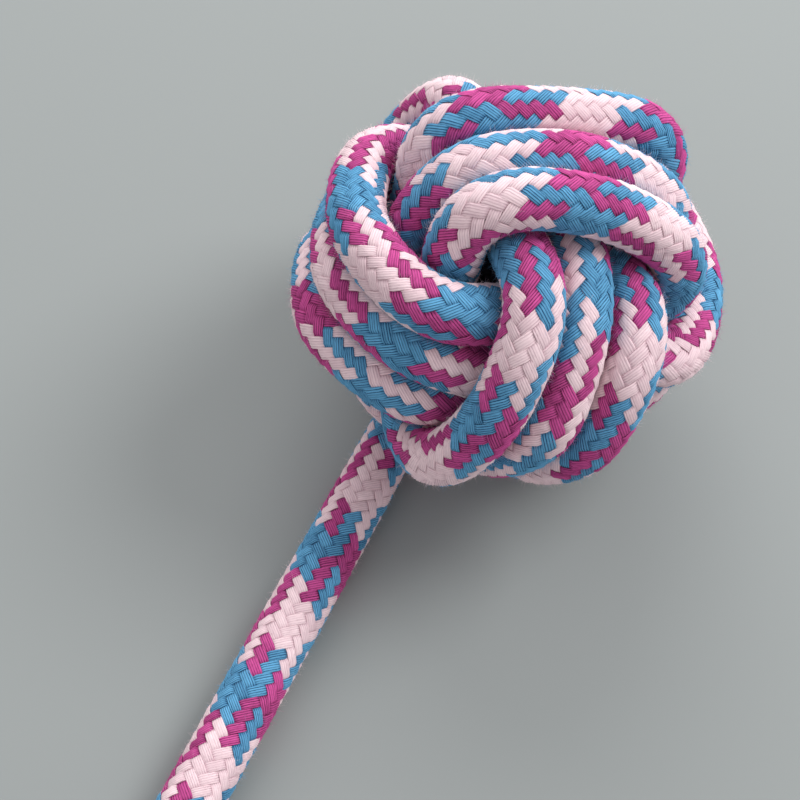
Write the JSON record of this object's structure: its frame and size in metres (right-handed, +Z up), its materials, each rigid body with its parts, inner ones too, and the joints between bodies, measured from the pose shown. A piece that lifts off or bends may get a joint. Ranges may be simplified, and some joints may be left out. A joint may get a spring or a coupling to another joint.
{
  "type": "rope dog toy",
  "caption": "Throw-and-tug rope toy for dogs: a tight woven ball of soft braided cotton rope with a rope tail ending in a stopper knot and frayed tassel.",
  "frame": {"origin": "on the floor under the middle of the toy's bounding box", "axes": "+Z up from the floor, +Y from the tassel along the straight tail towards the ball"},
  "size_m": [0.0812, 0.3288, 0.0812],
  "materials": {
    "ball_cotton": "soft braided cotton, white, blue and magenta yarns",
    "tail_cotton": "soft braided cotton, white, blue and magenta yarns",
    "filler_yarn": "grey recycled cotton filler yarns",
    "stuffing": "tightly wound waste-cotton ball",
    "frayed_cotton": "loose cotton yarn ends, white, blue and magenta"
  },
  "bodies": {
    "ball": {"ball_rope": "ball_cotton", "stuffing_ball": "stuffing"},
    "tail_near": {"tail_cover_near": "tail_cotton", "tail_filler_near": "filler_yarn"},
    "tail_far": {"tail_cover_far": "tail_cotton", "tail_filler_far": "filler_yarn", "stopper_knot": "tail_cotton", "frayed_tassel": "frayed_cotton"}
  },
  "joints": [
    {"name": "tail_swing", "type": "hinge", "parent": "ball", "child": "tail_near", "pos_m": [-0.01343, 0.04815, 0.0058], "axis": [0, 0, 1], "range_deg": [-40, 40]},
    {"name": "tail_bend", "type": "hinge", "parent": "tail_near", "child": "tail_far", "pos_m": [-0.01343, -0.01785, 0.0058], "axis": [0, 0, 1], "range_deg": [-60, 60]}
  ]
}
